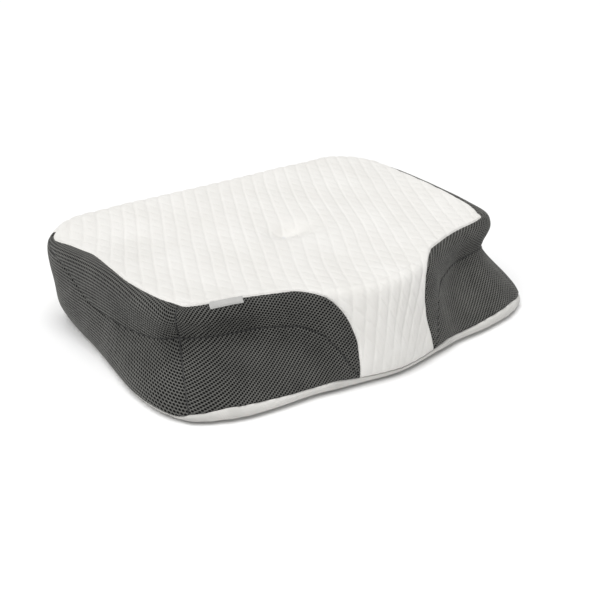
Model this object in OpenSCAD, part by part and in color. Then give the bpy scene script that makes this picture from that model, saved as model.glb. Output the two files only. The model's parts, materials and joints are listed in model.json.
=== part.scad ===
// Contoured cervical pillow: a moulded foam block in a knit sock, inside a zipped cover.
// The origin is the middle of the footprint, on the surface that the pillow lies on.
// The front, with the tongue, faces -Y, and +Z is up.

/* [Pillow] */
// Width of the foot, end to end
foot_w = 550; // [480:5:620]
// Depth of the foot, from the tip of the tongue to the back
foot_d = 400; // [350:5:450]
// Height of the roll that runs round the top edge
top_h = 110; // [90:1:130]
// How much lower the middle of the top is than its edge
hollow_depth = 5; // [0:1:20]
// Depth of the small dimple in the top
dimple_depth = 7; // [0:1:12]
// Distance of the dimple behind the middle
dimple_y = 18; // [0:1:40]

/* [Layers] */
// Thickness of the quilted panel and of the bottom panel
quilt_t = 3; // [2:0.5:4]
// Thickness of the spacer mesh
mesh_t = 3; // [2:0.5:4]
// Depth of the liner's outer face under the cover's outer face
liner_depth = 6; // [5.8:0.1:8]
// Thickness of the liner
liner_t = 0.8; // [0.5:0.1:1.5]
// Gap between the liner and the foam
foam_gap = 0.2; // [0.1:0.1:0.5]

/* [Zip] */
// Length of the zip's teeth
zip_l = 290; // [150:10:300]
// Height of the zip's middle above the surface
zip_z = 36; // [32:1:40]
// Height of the slot in the cover that shows the zip
zip_slot = 13; // [12:0.5:16]
// Width of one tape, from its inner edge to where it is sewn
zip_tape_w = 11; // [9:0.5:13]
// Thickness of the tape
zip_tape_t = 0.6; // [0.5:0.1:0.8]
// Width of one row of teeth
coil_w = 2.6; // [2:0.1:3]
// Thickness of the rows of teeth
coil_t = 2.2; // [1.8:0.1:2.6]
// Length of the slider
slider_l = 13; // [11:0.5:15]
// Length of the pull tab, from its pin to its tip
pull_l = 28; // [20:1:36]

/* [Hidden] */

// Half of the outline, from the middle of the front, round the +X end, to the middle of the back.
// Each station gives the plan positions of the foot, the waist and the top edge, then the heights
// of the waist and of the top, for a pillow of 550 x 400 x 110 mm.
STATIONS = [
  [[0, -200], [0, -188], [0, -171], 52, 106],
  [[75, -189], [70, -173], [68, -157], 52, 107],
  [[108, -182], [107, -151], [108, -138], 55, 109],
  [[163, -177], [155, -123], [161, -117], 62, 109],
  [[218, -166], [208, -112], [216, -108], 66, 110],
  [[260, -135], [236, -87], [242, -91], 61, 110],
  [[274.5, -70], [250, -46], [254, -44], 57, 110],
  [[263, 35], [261, 42], [260, 48], 56, 110],
  [[254, 125], [262, 123], [265, 137], 54, 105],
  [[239, 166], [240, 161], [245, 174], 54, 108],
  [[200, 189], [202, 187], [203, 198], 54, 110],
  [[150, 189], [150, 190], [150, 200], 54, 110],
  [[0, 189], [0, 190], [0, 200], 54, 110]
];
HALF = len(STATIONS) - 1;
ROUND = 2 * HALF;

// Levels up the outer face: 0 middle of the bottom, 2 edge of the flat bottom, 3 lip of the foot,
// 4 waist, 5 top edge, 6 crest of the roll, 10 middle of the top.
CREST = 6;
MIDDLE = 10;
foot_inset = 14;
lip_z = 14;
roll = 13;

// The seams, as [station, level] along that half of the outline
LOW_SEAM = [
  [0, 2.75], [0.6, 2.85], [1.2, 3.05], [2, 3], [4, 3.12], [4.8, 2.95], [5.6, 2.6], [8.4, 2.6], [9, 3]
];
MID_SEAM = [
  [0.72, 2.98], [0.88, 3.4], [1.05, 3.8], [1.4, 4.2], [2, 4.4], [2.5, 4.35], [3.3, 4.2],
  [4.8, 4.22], [6.5, 4.06], [7.1, 4.15], [7.7, 5], [8.4, 5.5], [8.67, 5.62], [9, 5.7]
];
TOP_SEAM = [
  [0.72, 4], [0.75, 4.3], [0.83, 4.6], [1, 5], [1.25, 5.45], [1.5, 5.7], [2, 5.95], [3, 5.85],
  [4.4, 5.95], [5.1, 6.05], [6.5, 5.97], [7.4, 6.2], [8.2, 6.2], [8.5, 5.95], [8.67, 5.75], [9, 5.7]
];
// How many levels lower the top seam is on the right, because the cover sits a little askew
RIGHT_DROP = [[5, 0], [6.5, 0.1], [7.4, 0.35], [8.2, 0.4], [8.6, 0]];
MESH_START = 0.72;
CORNER = 4.8;
LEAF_END = 8 + 2 / 3;
MESH_END = 9;
ZIP_START = 10 + 2 / 3;
ZIP_FULL = 11;
SEAM_SIDE = 0.01;
// Small enough to tell a column from the next, and larger than any rounding of a station's number
rounding = 0.001;

function mirrored(p) = [-p[0], p[1]];
function sized(p) = [p[0] * foot_w / 550, p[1] * foot_d / 400];
function half_station(s) = [sized(s[0]), sized(s[1]), sized(s[2]), s[3] * top_h / 110, s[4] * top_h / 110];
function station(i) =
  let (k = (i + ROUND) % ROUND, s = half_station(STATIONS[min(k, ROUND - k)]))
  k <= HALF ? s : [mirrored(s[0]), mirrored(s[1]), mirrored(s[2]), s[3], s[4]];

// A point of ring r, 0 foot to 2 top edge, moved inwards by d
function inset(i, r, d) =
  let (t = station(i + 1)[r] - station(i - 1)[r])
  station(i)[r] - [t[1], -t[0]] / norm(t) * d;

// The control points of one station, from level 0 to level 6, and one more inside the crest
function control_column(i) =
  let (s = station(i), foot = inset(i, 0, foot_inset), crest = inset(i, 2, roll))
  [
    [0, 0, 0], [foot[0] * 0.75, foot[1] * 0.75, 0], [foot[0], foot[1], 0], [s[0][0], s[0][1], lip_z],
    [s[1][0], s[1][1], s[3]], [s[2][0], s[2][1], s[4] - roll], [crest[0], crest[1], s[4]],
    [crest[0] * 0.8, crest[1] * 0.8, s[4] - 1]
  ];
NET = [for (i = [0:ROUND - 1]) control_column(i)];

function catmull_rom(a, b, c, d, t) =
  (2 * b + (c - a) * t + (2 * a - 5 * b + 4 * c - d) * t * t + (3 * b - a - 3 * c + d) * t * t * t) / 2;

// A point on the curve round the pillow through one level's control points
function along(s, level) =
  let (i = floor(s), k = max(level, 0))
  catmull_rom(
    NET[(i + ROUND - 1) % ROUND][k], NET[i % ROUND][k],
    NET[(i + 1) % ROUND][k], NET[(i + 2) % ROUND][k], s - i
  );

function bell(x) = exp(-x * x);
function top_height(p, edge_z, out) =
  edge_z * pow(out, 3) + (top_h - hollow_depth) * (1 - pow(out, 3))
    - dimple_depth * bell(p[0] / 32) * bell((p[1] - dimple_y) / 20);

function top_face(s, v) =
  let (crest = along(s, CREST), out = (MIDDLE - v) / (MIDDLE - CREST), p = crest * out)
  [p[0], p[1], top_height(p, crest[2], out)];

function wall_face(s, v) =
  let (
    j = floor(v),
    p = catmull_rom(along(s, j - 1), along(s, j), along(s, j + 1), along(s, j + 2), v - j)
  )
  [p[0], p[1], max(p[2], 0)];

// The cover's outer face at station s, counted on round the pillow to ROUND, and level v
function skin(s, v) =
  let (w = (s + ROUND) % ROUND)
  v >= CREST ? top_face(w, min(v, MIDDLE)) : wall_face(w, v);

// The outward direction, from short steps both ways
function outward(s, v) =
  v > MIDDLE - 0.1 ? [0, 0, 1] :
  v <= 2 ? [0, 0, -1] :
  let (
    e = 0.04,
    n = cross(skin(s + e, v) - skin(s - e, v), skin(s, v + e) - skin(s, v - e))
  )
  n / norm(n);

// A point at a depth under the cover's outer face
function under(s, v, depth) =
  let (p = skin(s, v) - outward(s, v) * depth)
  v <= 2 ? p : [p[0], p[1], max(p[2], depth)];

// The level on the straight stretch of the back at height z, by halving
function back_level(z, low = 3, high = 4, steps = 16) =
  let (mid = (low + high) / 2)
  steps == 0 ? mid
  : skin(HALF, mid)[2] < z ? back_level(z, mid, high, steps - 1)
  : back_level(z, low, mid, steps - 1);

zip_v = back_level(zip_z);
slot_low_v = back_level(zip_z - zip_slot / 2);
slot_high_v = back_level(zip_z + zip_slot / 2);

function half_of(s) = min(s, ROUND - s);
function top_seam(s) = lookup(half_of(s), TOP_SEAM) - (s < HALF ? lookup(s, RIGHT_DROP) : 0);
function slot_edge(s, open_v) = lookup(s, [[ZIP_START, zip_v], [ZIP_FULL, open_v]]);
// The lower edge of the quilted panel, and the upper edge of the bottom panel
function quilt_edge(s) =
  let (k = half_of(s))
  k < MESH_START - rounding ? lookup(k, LOW_SEAM)
  : k <= MESH_END + rounding ? top_seam(s)
  : slot_edge(k, slot_high_v);
function bottom_edge(s) =
  let (k = half_of(s))
  k <= MESH_END + rounding ? lookup(k, LOW_SEAM) : slot_edge(k, slot_low_v);

function every(first, last, step) = [for (i = [0:round((last - first) / step)]) first + i * step];
column_step = 1 / 3;
HALF_COLUMNS = concat(
  [0, 0.24, 0.48, MESH_START - SEAM_SIDE, MESH_START, 0.8, 0.9], every(1, 4 + column_step, column_step),
  [CORNER], every(5 + column_step, MESH_END, column_step), [MESH_END + SEAM_SIDE],
  every(MESH_END + column_step, HALF, column_step)
);
AROUND = concat(HALF_COLUMNS, [for (i = [len(HALF_COLUMNS) - 2:-1:1]) ROUND - HALF_COLUMNS[i]]);
function columns(first, last) = [for (s = AROUND) if (s > first - rounding && s < last + rounding) s];

// Triangles of the quad between points a to b on one row and d to c on the next
function quad(a, b, c, d, flip) = flip ? [[a, c, b], [a, d, c]] : [[a, b, c], [a, c, d]];
// Rows of n points make a grid, which joins up round the pillow if it is closed
function grid(rows, n, start, closed, flip) = [
  for (j = [0:rows - 2], i = [0:n - (closed ? 1 : 2)])
    let (a = start + j * n, b = a + n, k = (i + 1) % n)
    each quad(a + i, a + k, b + k, b + i, flip)
];
// The strip that joins the ends of two rows of points
function strip(a, b, n, closed, flip) = [
  for (i = [0:n - (closed ? 1 : 2)]) let (k = (i + 1) % n) each quad(a + i, a + k, b + k, b + i, flip)
];
function fan(row, n, middle, flip) =
  [for (i = [0:n - 1]) flip ? [row + (i + 1) % n, row + i, middle] : [row + i, row + (i + 1) % n, middle]];

// A piece of the cover between two lists of levels, one for each column
module patch(cols, low, high, rows, outer, inner) {
  n = len(cols);
  count = n * (rows + 1);
  function face(depth) = [
    for (j = [0:rows], i = [0:n - 1]) under(cols[i], low[i] + (high[i] - low[i]) * j / rows, depth)
  ];
  sides = [
    for (j = [0:rows - 1])
      let (a = j * n, b = a + n)
      each concat(
        quad(a + count, a, b, b + count, true),
        quad(a + n - 1 + count, a + n - 1, b + n - 1, b + n - 1 + count, false)
      )
  ];
  polyhedron(
    points = concat(face(outer), face(inner)),
    faces = concat(
      grid(rows + 1, n, 0, false, true), grid(rows + 1, n, count, false, false),
      strip(0, count, n, false, false), strip(count - n, 2 * count - n, n, false, true), sides
    )
  );
}

// How far each row of the two large panels lies between its edge and its middle
QUILT_STEPS = [0, 0.06, 0.12, 0.18, 0.24, 0.29, 0.34, 0.39, 0.44, 0.49, 0.54, 0.62, 0.7, 0.78, 0.86, 0.93];
BOTTOM_STEPS = [0, 0.08, 0.16, 0.24, 0.32, 0.6];
// A panel that covers the whole top or bottom, out to an edge that has a level for each column
module cap(edge, pole_v, steps, t) {
  n = len(AROUND);
  rows = len(steps);
  count = n * rows;
  top = pole_v == MIDDLE;
  function face(depth) = [
    for (f = steps, i = [0:n - 1]) under(AROUND[i], edge[i] + (pole_v - edge[i]) * f, depth)
  ];
  polyhedron(
    points = concat(face(0), face(t), [under(0, pole_v, 0), under(0, pole_v, t)]),
    faces = concat(
      grid(rows, n, 0, true, top), grid(rows, n, count, true, !top),
      fan(count - n, n, 2 * count, top), fan(2 * count - n, n, 2 * count + 1, !top),
      strip(0, count, n, true, !top)
    )
  );
}

// A closed body whose surface is everywhere at one depth under the cover's outer face
BODY_LEVELS = concat([1], every(2, CREST, 1 / 3), [6.5, 7.2, 8, 8.8, 9.4]);
module body_at(depth) {
  n = len(AROUND);
  rows = len(BODY_LEVELS);
  polyhedron(
    points = concat(
      [for (v = BODY_LEVELS, s = AROUND) under(s, v, depth)],
      [under(0, 0, depth), under(0, MIDDLE, depth)]
    ),
    faces = concat(grid(rows, n, 0, true, true), fan(0, n, rows * n, false), fan((rows - 1) * n, n, rows * n + 1, true))
  );
}

function levels(table, cols) = [for (s = cols) lookup(half_of(s), table)];
module left() { mirror([1, 0, 0]) children(); }

// Foam and liner
module foam_core() {
  color("lemonchiffon") body_at(liner_depth + liner_t + foam_gap);
}
module inner_liner() {
  color("ghostwhite") difference() {
    body_at(liner_depth);
    body_at(liner_depth + liner_t);
  }
}

// White panels
module quilted_top() {
  color("white")
  cap([for (s = AROUND) quilt_edge(s)], MIDDLE, QUILT_STEPS, quilt_t);
}
module bottom_panel() {
  color("whitesmoke")
  cap([for (s = AROUND) bottom_edge(s)], 0, BOTTOM_STEPS, quilt_t);
}

// Mesh panels
module lower_mesh(first, last) {
  cols = columns(first, last);
  color("dimgray") patch(cols, levels(LOW_SEAM, cols), levels(MID_SEAM, cols), 5, 0, mesh_t);
}
module upper_mesh(first, last) {
  cols = columns(first, last);
  color("dimgray") patch(cols, levels(MID_SEAM, cols), [for (s = cols) top_seam(s)], 6, 0, mesh_t);
}
module right_end_upper_mesh() { upper_mesh(CORNER, LEAF_END); }
module right_end_lower_mesh() { lower_mesh(CORNER, MESH_END); }
module right_front_upper_mesh() { upper_mesh(MESH_START, CORNER); }
module right_front_lower_mesh() { lower_mesh(MESH_START, CORNER); }
module left_end_upper_mesh() { upper_mesh(ROUND - LEAF_END, ROUND - CORNER); }
module left_end_lower_mesh() { lower_mesh(ROUND - MESH_END, ROUND - CORNER); }
module left_front_upper_mesh() { upper_mesh(ROUND - CORNER, ROUND - MESH_START); }
module left_front_lower_mesh() { lower_mesh(ROUND - CORNER, ROUND - MESH_START); }

// Zip. Its own frame has x along the zip, y out of the cover from the cover's outer face, and z up.
tape_gap = 0.4;
tape_y = -quilt_t - tape_gap;
tape_back_y = tape_y - zip_tape_t;
slit = 1;
coil_z = slit / 2;
stop_l = 2.5;
stop_gap = 0.3;
tape_end = zip_l / 2 + 10;
stop_t = 1.6;
clamp_t = 0.6;
slider_w = 8.8;
slider_clear = 0.25;
tape_clear = 0.2;
plate_t = 1.4;
back_plate_t = 1;
plate_y = tape_y + coil_t + slider_clear;
back_plate_y = tape_back_y - tape_clear;
neck_l = 3;
neck_w = 0.6;
flange_z = coil_z + coil_w + 0.3;
lug_r = 1.5;
pin_r = 0.75;
bore_r = 0.8;
pin_y = plate_y + plate_t + lug_r;
eye_r = 1.1;
arm_z = 1.8;
arm_w = 0.9;
arm_l = 7;
tab_t = 1.2;
tab_end_x = arm_z + arm_w - pull_l;
hole_r = 1.3;
slider_x = zip_l / 2 - slider_l / 2 - stop_gap;
zip_out = outward(HALF, zip_v);
zip_tilt = atan2(zip_out[2], zip_out[1]);

module at_zip() { translate(skin(HALF, zip_v)) rotate([zip_tilt, 0, 0]) children(); }
// A block between two opposite corners
module block(low, high) { translate(low) cube(high - low); }
module below() { mirror([0, 0, 1]) children(); }

module tape() {
  color("white") block([-tape_end, tape_back_y, coil_z], [tape_end, tape_y, coil_z + zip_tape_w]);
}
module coil() {
  color("white") block([-zip_l / 2, tape_y, coil_z], [zip_l / 2, tape_y + coil_t, coil_z + coil_w]);
}
module zip_tape_upper() { at_zip() tape(); }
module zip_tape_lower() { at_zip() below() tape(); }
module zip_coil_upper() { at_zip() coil(); }
module zip_coil_lower() { at_zip() below() coil(); }

// A clamp over the tape's edge, at the teeth's +X end
module top_stop() {
  x = zip_l / 2 + stop_gap;
  end = x + stop_l;
  inner_z = 0.15;
  block([x, tape_y, coil_z], [end, tape_y + stop_t, coil_z + coil_w]);
  block([x, tape_back_y - clamp_t, inner_z], [end, tape_y + stop_t, coil_z]);
  block([x, tape_back_y - clamp_t, coil_z], [end, tape_back_y, coil_z + coil_w]);
}
module zip_top_stops() {
  color("silver") at_zip() {
    top_stop();
    below() top_stop();
  }
}
module zip_bottom_stop() {
  x = -zip_l / 2 - stop_gap - stop_l;
  end = x + stop_l;
  reach = coil_z + coil_w;
  web_z = 0.4;
  color("silver") at_zip() {
    block([x, tape_y, -reach], [end, tape_y + stop_t, reach]);
    block([x, tape_back_y - clamp_t, -web_z], [end, tape_y, web_z]);
    block([x, tape_back_y - clamp_t, -reach], [end, tape_back_y, reach]);
  }
}

// The slider's plate seen square to the cover, with its four corners cut off
tail_cut = [1.5, 1.2];
nose_cut = [2, 1];
module slider_plate(low_y, high_y) {
  a = slider_l / 2;
  w = slider_w / 2;
  side = [
    [-a, w - tail_cut[1]], [tail_cut[0] - a, w], [a - nose_cut[0], w], [a, w - nose_cut[1]]
  ];
  translate([0, high_y, 0]) rotate([90, 0, 0]) linear_extrude(high_y - low_y)
  polygon(concat(side, [for (i = [3:-1:0]) [side[i][0], -side[i][1]]]));
}
module zip_slider() {
  a = slider_l / 2;
  w = slider_w / 2;
  color("silver") at_zip() translate([slider_x, 0, 0]) {
    slider_plate(plate_y, plate_y + plate_t);
    slider_plate(back_plate_y - back_plate_t, back_plate_y);
    block([a - neck_l - 1, back_plate_y, -neck_w / 2], [a - 1, plate_y, neck_w / 2]);
    for (side = [0, 1]) mirror([0, 0, side])
    block([tail_cut[0] - a, tape_y + tape_clear, flange_z], [a - nose_cut[0], plate_y, w]);
    difference() {
      union() {
        translate([0, pin_y, -lug_r]) cylinder(r = lug_r, h = 2 * lug_r, $fn = 48);
        block([-lug_r, plate_y + plate_t, -lug_r], [lug_r, pin_y, lug_r]);
      }
      translate([0, pin_y, -2 * lug_r]) cylinder(r = bore_r, h = 4 * lug_r, $fn = 48);
    }
  }
}
// The pull tab, which turns on its pin in the slider's lug
module zip_pull() {
  reach = arm_z + arm_w;
  color("silver") at_zip() translate([slider_x, pin_y, 0]) {
    translate([0, 0, -reach]) cylinder(r = pin_r, h = 2 * reach, $fn = 48);
    for (side = [0, 1]) mirror([0, 0, side]) {
      translate([0, 0, arm_z]) cylinder(r = eye_r, h = arm_w, $fn = 48);
      block([-arm_l, -tab_t / 2, arm_z], [0, tab_t / 2, reach]);
    }
    difference() {
      union() {
        block([tab_end_x, -tab_t / 2, -reach], [1 - arm_l, tab_t / 2, reach]);
        translate([tab_end_x, tab_t / 2, 0]) rotate([90, 0, 0]) cylinder(r = reach, h = tab_t, $fn = 48);
      }
      translate([tab_end_x, tab_t, 0]) rotate([90, 0, 0]) cylinder(r = hole_r, h = 2 * tab_t, $fn = 48);
    }
  }
}

// Labels, each a folded loop that lies on the cover below its seam
label_gap = 0.3;
label_t = 1;
module label(first, last, low, high) {
  cols = every(first, last, (last - first) / 3);
  patch(cols, [for (s = cols) low], [for (s = cols) high], 4, -label_gap - label_t, -label_gap);
}
module side_tag() { color("gainsboro") left() label(3, 3.66, 5.45, 5.9); }
module care_label() { color("white") left() label(10.1, 10.6, 2.95, zip_v); }

foam_core();
inner_liner();
quilted_top();
bottom_panel();
left_end_upper_mesh();
right_end_upper_mesh();
left_end_lower_mesh();
right_end_lower_mesh();
left_front_upper_mesh();
right_front_upper_mesh();
left_front_lower_mesh();
right_front_lower_mesh();
zip_tape_upper();
zip_tape_lower();
zip_coil_upper();
zip_coil_lower();
zip_top_stops();
zip_bottom_stop();
zip_slider();
zip_pull();
side_tag();
care_label();
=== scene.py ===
"""Contoured cervical pillow: its cover, labels and zip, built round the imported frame.

Inside the functions, lengths are in millimetres, as in the CAD model; meshes are made in metres.
A place on the cover is given as (station, level): stations count round the pillow from the middle
of the front, level 2 is the edge of the flat bottom, 4 the waist, 5 the top edge, 6 the crest of
the roll, and 10 the middle of the top.
"""
import json
import math

import bmesh
import bpy
import numpy as np
from mathutils import Euler, Matrix, Vector
from mathutils.kdtree import KDTree


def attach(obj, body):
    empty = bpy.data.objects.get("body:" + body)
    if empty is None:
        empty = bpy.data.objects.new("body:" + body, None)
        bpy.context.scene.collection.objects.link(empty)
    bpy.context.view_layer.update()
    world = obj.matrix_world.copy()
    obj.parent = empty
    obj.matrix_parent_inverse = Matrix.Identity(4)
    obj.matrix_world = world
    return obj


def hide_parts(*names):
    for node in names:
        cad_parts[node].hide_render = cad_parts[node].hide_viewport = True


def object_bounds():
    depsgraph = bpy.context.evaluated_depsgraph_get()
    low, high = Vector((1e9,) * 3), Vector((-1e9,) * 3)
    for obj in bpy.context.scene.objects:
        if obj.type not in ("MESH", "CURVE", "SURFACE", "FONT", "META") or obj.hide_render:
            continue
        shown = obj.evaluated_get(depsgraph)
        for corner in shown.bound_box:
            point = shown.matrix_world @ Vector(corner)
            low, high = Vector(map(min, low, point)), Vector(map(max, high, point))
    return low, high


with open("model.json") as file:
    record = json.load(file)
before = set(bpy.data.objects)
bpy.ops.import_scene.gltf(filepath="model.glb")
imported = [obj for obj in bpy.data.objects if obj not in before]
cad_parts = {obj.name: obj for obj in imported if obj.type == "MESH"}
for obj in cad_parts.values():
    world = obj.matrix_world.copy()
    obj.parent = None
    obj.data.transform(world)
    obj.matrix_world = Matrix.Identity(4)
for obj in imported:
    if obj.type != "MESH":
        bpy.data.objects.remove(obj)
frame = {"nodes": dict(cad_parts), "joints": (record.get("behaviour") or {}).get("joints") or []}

MM = 0.001
cad_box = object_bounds()
WIDTH, DEPTH, HEIGHT = ((b - a) / MM for a, b in zip(*cad_box))

# ------------------------------------------------------------------ the pillow's outline
# One row for each station from the middle of the front, round the +X end, to the middle of the
# back: plan positions of the foot, the waist and the top edge, then the heights of the waist and
# of the top, for a pillow of 550 x 400 x 110 mm. They are the CAD model's own stations. Like the
# seams below, they began as least-squares fits to a photo, made by another program, and were
# then rounded and changed. That is an open failure.
STATIONS = [
    (0, -200, 0, -188, 0, -171, 52, 106),
    (75, -189, 70, -173, 68, -157, 52, 107),
    (108, -182, 107, -151, 108, -138, 55, 109),
    (163, -177, 155, -123, 161, -117, 62, 109),
    (218, -166, 208, -112, 216, -108, 66, 110),
    (260, -135, 236, -87, 242, -91, 61, 110),
    (274.5, -70, 250, -46, 254, -44, 57, 110),
    (263, 35, 261, 42, 260, 48, 56, 110),
    (254, 125, 262, 123, 265, 137, 54, 105),
    (239, 166, 240, 161, 245, 174, 54, 108),
    (200, 189, 202, 187, 203, 198, 54, 110),
    (150, 189, 150, 190, 150, 200, 54, 110),
    (0, 189, 0, 190, 0, 200, 54, 110),
]
HALF = len(STATIONS) - 1
ROUND = 2 * HALF
CREST, MIDDLE = 6, 10
FOOT_INSET, LIP_Z, ROLL = 14, 14, 13
HOLLOW = 5
DIMPLE_DEPTH, DIMPLE_Y = 7, 18
DIMPLE_SIZE = (32, 20)
SOFTEN = 0.12

# The seams, as (station, level) along that half of the outline. LOW_SEAM and TOP_SEAM differ
# from the CAD model's in a few numbers.
LOW_SEAM = [
    (0, 2.75), (0.6, 2.85), (1.2, 3.05), (2, 3), (4, 3.08), (4.8, 2.92), (5.15, 2.6), (8.4, 2.6), (9, 3),
]
MID_SEAM = [
    (0.72, 2.98), (0.88, 3.4), (1.05, 3.8), (1.4, 4.2), (2, 4.4), (2.5, 4.35), (3.3, 4.2),
    (4.8, 4.22), (6.5, 4.06), (7.1, 4.15), (7.7, 5), (8.4, 5.5), (8.67, 5.62), (9, 5.7),
]
TOP_SEAM = [
    (0.72, 4), (0.75, 4.3), (0.83, 4.6), (1, 5), (1.25, 5.45), (1.5, 5.7), (2, 5.95), (3, 5.85),
    (4.4, 5.95), (5.1, 6.05), (6.5, 5.97), (7.4, 6.2), (7.9, 6.12), (8.3, 5.86), (8.67, 5.74), (9, 5.7),
]
# How many levels lower the top seam is on the right, because the cover sits a little askew
RIGHT_DROP = [(5, 0), (6.5, 0.1), (7.4, 0.35), (8.2, 0.4), (8.6, 0)]
MESH_START = 0.72
TONGUE_TOP = 1.25
CORNER = 4.8
LEAF_END = 8 + 2 / 3
MESH_END = 9
ZIP_START, ZIP_FULL = 10 + 2 / 3, 11


def smooth_table(rows):
    """A seam's points as a curve with rounded corners: (stations, levels)."""
    s, v = np.array(rows, float).T
    fine = np.linspace(s[0], s[-1], 400)
    level = np.interp(fine, s, v)
    for _ in range(12):
        level[1:-1] = (level[:-2] + 2 * level[1:-1] + level[2:]) / 4
    return fine, level


SEAMS = {"low": smooth_table(LOW_SEAM), "mid": smooth_table(MID_SEAM), "top": smooth_table(TOP_SEAM)}


def half_of(s):
    s = np.asarray(s, float) % ROUND
    return np.minimum(s, ROUND - s)


def seam(name, s):
    """The level of a seam at station s."""
    level = np.interp(half_of(s), *SEAMS[name])
    if name != "top":
        return level
    s = np.asarray(s, float) % ROUND
    return level - np.where(s < HALF, np.interp(s, *zip(*RIGHT_DROP)), 0)


def control_net():
    """Control points of every station, from level 0 to 6, and one more inside the crest."""
    rows = np.array([STATIONS[min(k, ROUND - k)] for k in range(ROUND)], float)
    rows[:, :6:2] *= WIDTH / 550
    rows[:, 1:6:2] *= DEPTH / 400
    rows[:, 6:] *= HEIGHT / 110
    rows[HALF + 1:, :6:2] *= -1

    def inset(c, d):
        ring = rows[:, c:c + 2]
        along = np.roll(ring, -1, 0) - np.roll(ring, 1, 0)
        out = np.stack([along[:, 1], -along[:, 0]], 1) / np.linalg.norm(along, axis=1)[:, None]
        return ring - out * d

    foot, crest = inset(0, FOOT_INSET), inset(4, ROLL)
    flat = np.zeros((ROUND, 1))
    high = rows[:, 7:8]
    return np.stack([
        np.zeros((ROUND, 3)),
        np.hstack([foot * 0.75, flat]),
        np.hstack([foot, flat]),
        np.hstack([rows[:, 0:2], flat + LIP_Z]),
        np.hstack([rows[:, 2:4], rows[:, 6:7]]),
        np.hstack([rows[:, 4:6], high - ROLL]),
        np.hstack([crest, high]),
        np.hstack([crest * 0.8, high - 1]),
    ], 1)


NET = control_net()


def catmull_rom(a, b, c, d, t):
    t = t[..., None]
    return 0.5 * (2 * b + (c - a) * t + (2 * a - 5 * b + 4 * c - d) * t**2 + (3 * b - a - 3 * c + d) * t**3)


def ring_point(s, level):
    """A point on the curve round the pillow through one level's control points."""
    i = np.floor(s).astype(int)
    k = np.clip(level, 0, 7)
    near = [NET[(i + step) % ROUND, k] for step in (-1, 0, 1, 2)]
    return catmull_rom(*near, s - i)


def bell(x):
    return np.exp(-x * x)


def top_height(p, edge_z, out):
    """Height of the top at p, which is the share out of the way from the middle to the crest."""
    dimple = DIMPLE_DEPTH * bell(p[..., 0] / DIMPLE_SIZE[0]) * bell((p[..., 1] - DIMPLE_Y) / DIMPLE_SIZE[1])
    return edge_z * out**3 + (HEIGHT - HOLLOW) * (1 - out**3) - dimple


def plain_skin(s, v):
    """The CAD cover's outer face at station s and level v."""
    s = s % ROUND
    w = np.minimum(v, CREST - 1e-6)
    j = np.floor(w).astype(int)
    wall = catmull_rom(*(ring_point(s, j + step) for step in (-1, 0, 1, 2)), w - j)
    crest = ring_point(s, np.full_like(j, CREST))
    out = (MIDDLE - np.clip(v, CREST, MIDDLE)) / (MIDDLE - CREST)
    p = crest[..., :2] * out[..., None]
    top = np.concatenate([p, top_height(p, crest[..., 2], out)[..., None]], -1)
    face = np.where((v >= CREST)[..., None], top, wall)
    face[..., 2] = np.maximum(face[..., 2], 0)
    return face


def skin(s, v):
    """The same face with the crest and the waist softened, as cloth lies over foam."""
    s, v = np.broadcast_arrays(np.asarray(s, float), np.asarray(v, float))
    reach = SOFTEN * (1 + 1.6 * bell(half_of(s) / 1.3))
    reach = reach * np.clip((v - 2) / 0.5, 0, 1) * np.clip((7 - v) / 0.5, 0, 1)
    weights = {-2: 1, -1: 4, 0: 6, 1: 4, 2: 1}
    return sum(w * plain_skin(s, v + k * reach) for k, w in weights.items()) / sum(weights.values())


def unit(a):
    return a / np.maximum(np.linalg.norm(a, axis=-1, keepdims=True), 1e-12)


def outward(s, v):
    e = 0.03
    n = unit(np.cross(skin(s + e, v) - skin(s - e, v), skin(s, v + e) - skin(s, v - e)))
    return np.where((np.asarray(v) <= 2.001)[..., None], np.array([0, 0, -1.0]), n)


# How far up each station's column a level is, measured along the cloth from level 2
TABLE_S = np.linspace(0, ROUND, 20 * ROUND + 1)
TABLE_V = np.linspace(2, 7, 201)
_table = skin(TABLE_S[:, None], TABLE_V[None, :])
TABLE_UP = np.pad(np.cumsum(np.linalg.norm(np.diff(_table, axis=1), axis=2), axis=1), ((0, 0), (1, 0)))
# How far round the pillow a station is, along the crest and along the waist
_around = {level: skin(TABLE_S, np.full_like(TABLE_S, level)) for level in (4, CREST)}
TABLE_ROUND = {
    level: np.pad(np.cumsum(np.linalg.norm(np.diff(line, axis=0), axis=1)), (1, 0))
    for level, line in _around.items()
}


def up_cloth(s, v):
    """Length of cloth from level 2 up to level v at station s."""
    x = (np.asarray(s) % ROUND) / ROUND * (len(TABLE_S) - 1)
    y = np.clip((v - 2) / 5, 0, 1) * (len(TABLE_V) - 1)
    i = np.minimum(x.astype(int), len(TABLE_S) - 2)
    j = np.minimum(y.astype(int), len(TABLE_V) - 2)
    x, y = x - i, y - j
    low = TABLE_UP[i, j] * (1 - y) + TABLE_UP[i, j + 1] * y
    high = TABLE_UP[i + 1, j] * (1 - y) + TABLE_UP[i + 1, j + 1] * y
    return low * (1 - x) + high * x


def level_at(s, length):
    """The level that is that length of cloth up from level 2, by halving."""
    low, high = np.full(np.shape(length), 2.0), np.full(np.shape(length), 7.0)
    for _ in range(22):
        mid = (low + high) / 2
        below = up_cloth(s, mid) < length
        low, high = np.where(below, mid, low), np.where(below, high, mid)
    return (low + high) / 2


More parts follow.
